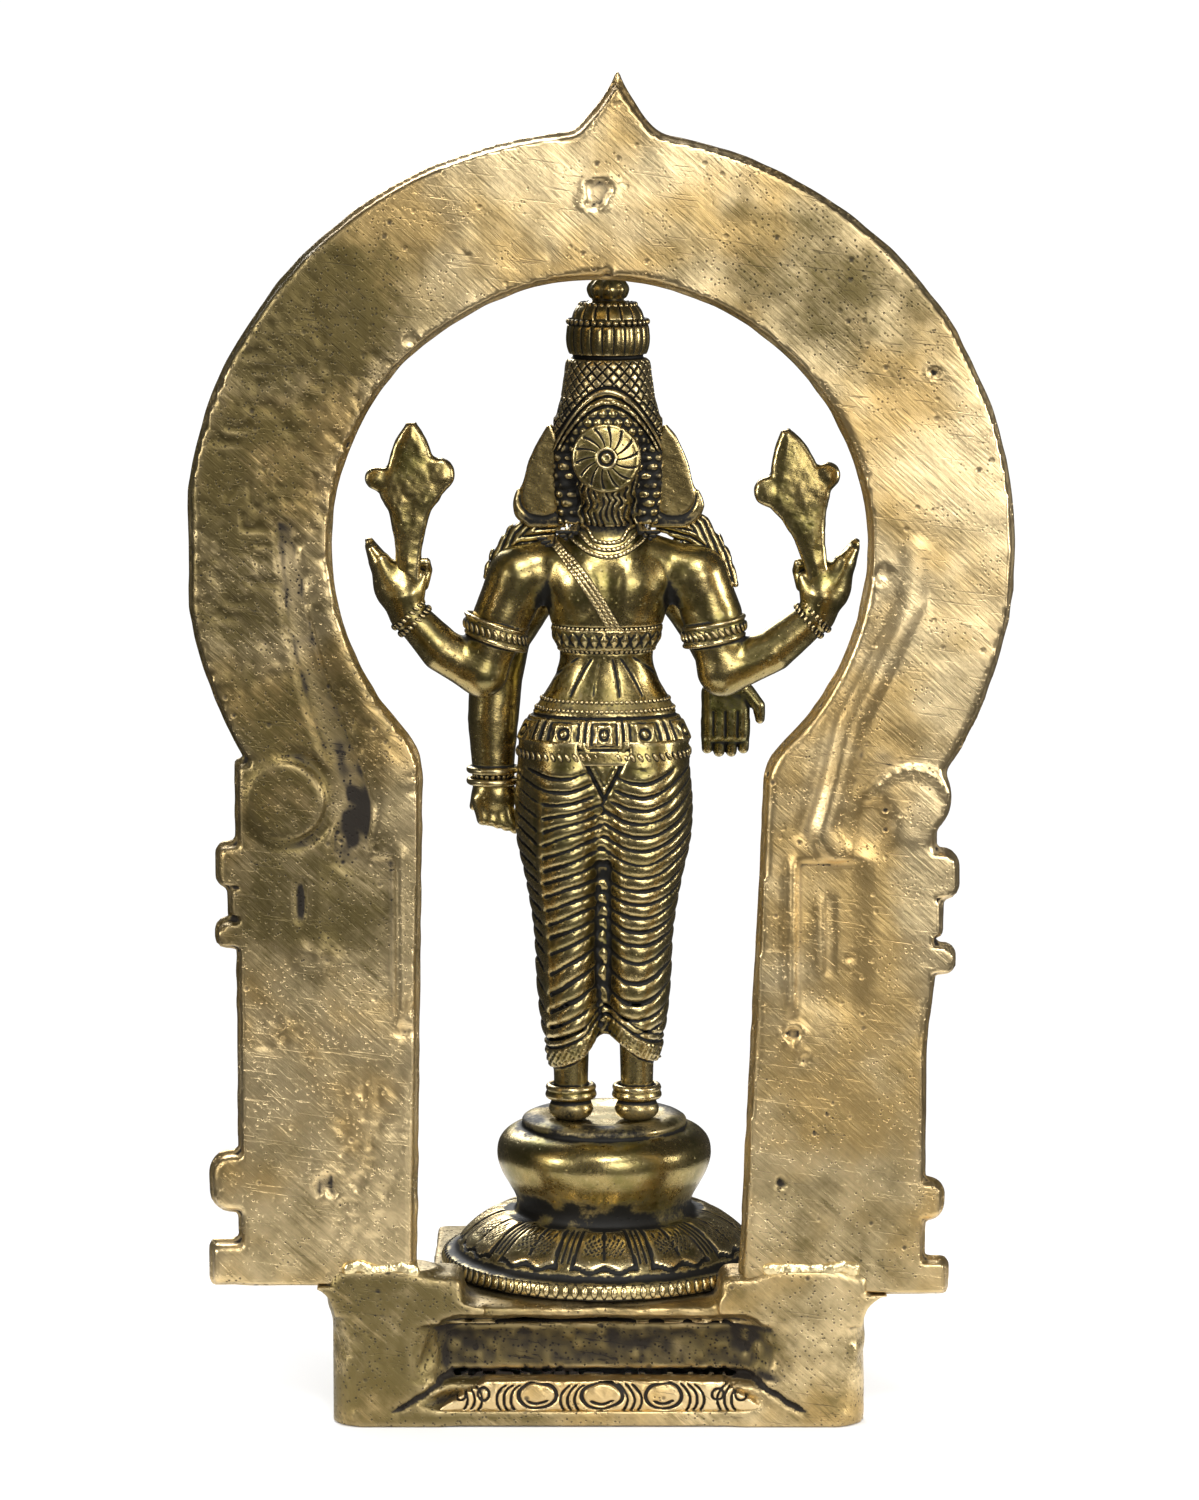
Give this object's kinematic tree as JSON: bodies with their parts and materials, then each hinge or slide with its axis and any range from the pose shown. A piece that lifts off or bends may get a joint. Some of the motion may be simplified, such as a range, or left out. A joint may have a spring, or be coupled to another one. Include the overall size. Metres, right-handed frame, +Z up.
{
  "type": "deity statue with arch",
  "caption": "Cast brass idol: standing multi-armed figure with tall crown on a round lotus pedestal, on a hollow moulded base inside a flat horseshoe arch with a pointed finial.",
  "frame": {"origin": "centre of the base's underside, on the surface the statue stands on", "axes": "+Z up; the figure faces -Y and the arch's flat back faces +Y; +X is the figure's left"},
  "size_m": [0.1538, 0.066, 0.2541],
  "materials": {
    "pale_brass": "filed and brushed, with casting pits",
    "antique_brass": "antiqued, polished high points with black patina in the recesses",
    "braze_metal": "smooth brazed filler",
    "plated_steel": "zinc plated"
  },
  "bodies": {
    "root": {"base_casting": "pale_brass", "arch_casting": "pale_brass", "left_braze_joint": "braze_metal", "right_braze_joint": "braze_metal", "lotus_pedestal": "antique_brass", "figure_body": "antique_brass", "head": "antique_brass", "crown": "antique_brass", "rear_head_disc": "antique_brass", "rear_left_arm": "antique_brass", "rear_right_arm": "antique_brass", "front_left_arm": "antique_brass", "front_right_arm": "antique_brass", "conch_emblem": "antique_brass", "discus_emblem": "antique_brass", "left_shoulder_ornament": "antique_brass", "right_shoulder_ornament": "antique_brass", "left_side_flap": "antique_brass", "right_side_flap": "antique_brass", "fixing_stud": "plated_steel", "fixing_washer": "plated_steel", "fixing_nut": "plated_steel"}
  },
  "joints": []
}
